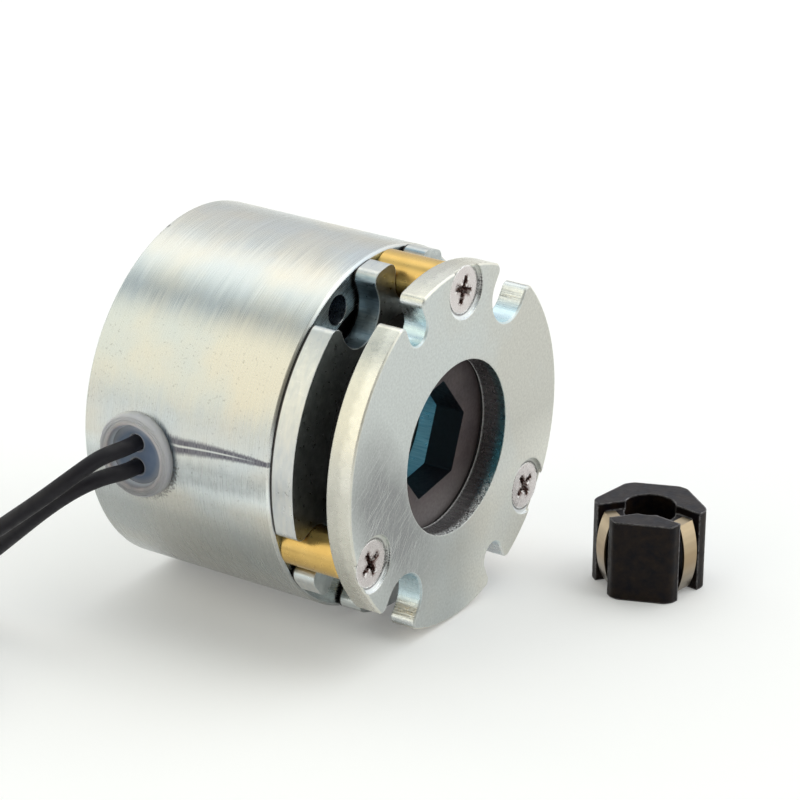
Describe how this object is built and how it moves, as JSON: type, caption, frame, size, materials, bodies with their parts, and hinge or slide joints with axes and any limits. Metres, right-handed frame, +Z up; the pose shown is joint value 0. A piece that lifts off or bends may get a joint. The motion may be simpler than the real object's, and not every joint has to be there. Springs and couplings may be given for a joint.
{
  "type": "spring-applied motor brake",
  "caption": "Round spring-applied brake with a notched mounting plate on brass spacers, a rotor with a hexagonal hole, a side grommet with leads and a loose hexagonal hub.",
  "frame": {"origin": "on the brake's axis, at the free face of the outer plate", "axes": "+X along the brake's axis, out of the outer plate; +Z up as it lies on its side"},
  "size_m": [0.105, 0.1252, 0.057],
  "materials": {
    "plated_steel": "zinc-plated turned steel, brushed round the axis",
    "plate_steel": "zinc-plated stamped steel with fine cross scratches",
    "armature_steel": "zinc-plated steel, sheared notches",
    "brass": "satin drawn brass",
    "screw_steel": "bright zinc-plated cross-recess screws",
    "rotor_metal": "dark sintered metal",
    "friction_lining": "dark friction lining",
    "black_plastic": "black moulded bobbin",
    "copper_wire": "enamelled copper wire",
    "insulating_tape": "yellow insulating tape",
    "spring_steel": "plain spring steel",
    "silicone": "milky translucent silicone",
    "lead_insulation": "matt black insulation",
    "tie_plastic": "black nylon tie",
    "tinned_copper": "tinned copper strands",
    "black_oxide_steel": "black-oxide steel",
    "leaf_steel": "straw-tinted spring steel strip",
    "black_screw": "black-oxide set screw"
  },
  "bodies": {
    "stator": {"stator_housing": "plated_steel", "coil_bobbin": "black_plastic", "coil_winding": "copper_wire", "coil_tape": "insulating_tape", "torque_spring_1": "spring_steel", "torque_spring_2": "spring_steel", "torque_spring_3": "spring_steel", "spacer_sleeve_1": "brass", "spacer_sleeve_2": "brass", "spacer_sleeve_3": "brass", "outer_plate": "plate_steel", "plate_screws": "screw_steel", "cable_grommet": "silicone", "lead_upper": "lead_insulation", "lead_lower": "lead_insulation", "lead_coil": "lead_insulation", "lead_tie": "tie_plastic", "lead_tips": "tinned_copper"},
    "armature": {"armature_plate": "armature_steel"},
    "rotor": {"rotor_core": "rotor_metal", "front_lining": "friction_lining", "rear_lining": "friction_lining"},
    "hub": {"hub_body": "black_oxide_steel", "hub_set_screw": "black_screw"},
    "leaf_left": {"leaf_spring_left": "leaf_steel"},
    "leaf_right": {"leaf_spring_right": "leaf_steel"}
  },
  "joints": [
    {"name": "armature_pull", "type": "slide", "parent": "stator", "child": "armature", "axis": [-1, 0, 0], "range_m": [0, 0.00025], "stiffness_N_per_m": 12000, "springref_m": -0.0015, "deforming": ["torque_spring_1", "torque_spring_2", "torque_spring_3"]},
    {"name": "rotor_spin", "type": "hinge", "parent": "stator", "child": "rotor", "pos_m": [-0.00725, 0, 0], "axis": [1, 0, 0], "continuous": true},
    {"name": "hub_lift", "type": "slide", "parent": "stator", "child": "hub", "axis": [0, 0, 1], "range_m": [0, 0.06]},
    {"name": "leaf_press_left", "type": "slide", "parent": "hub", "child": "leaf_left", "axis": [0.6157, 0.788, 0], "range_m": [0, 0.0003], "stiffness_N_per_m": 2000},
    {"name": "leaf_press_right", "type": "slide", "parent": "hub", "child": "leaf_right", "axis": [-0.9903, 0.1392, 0], "range_m": [0, 0.0003], "stiffness_N_per_m": 2000}
  ]
}
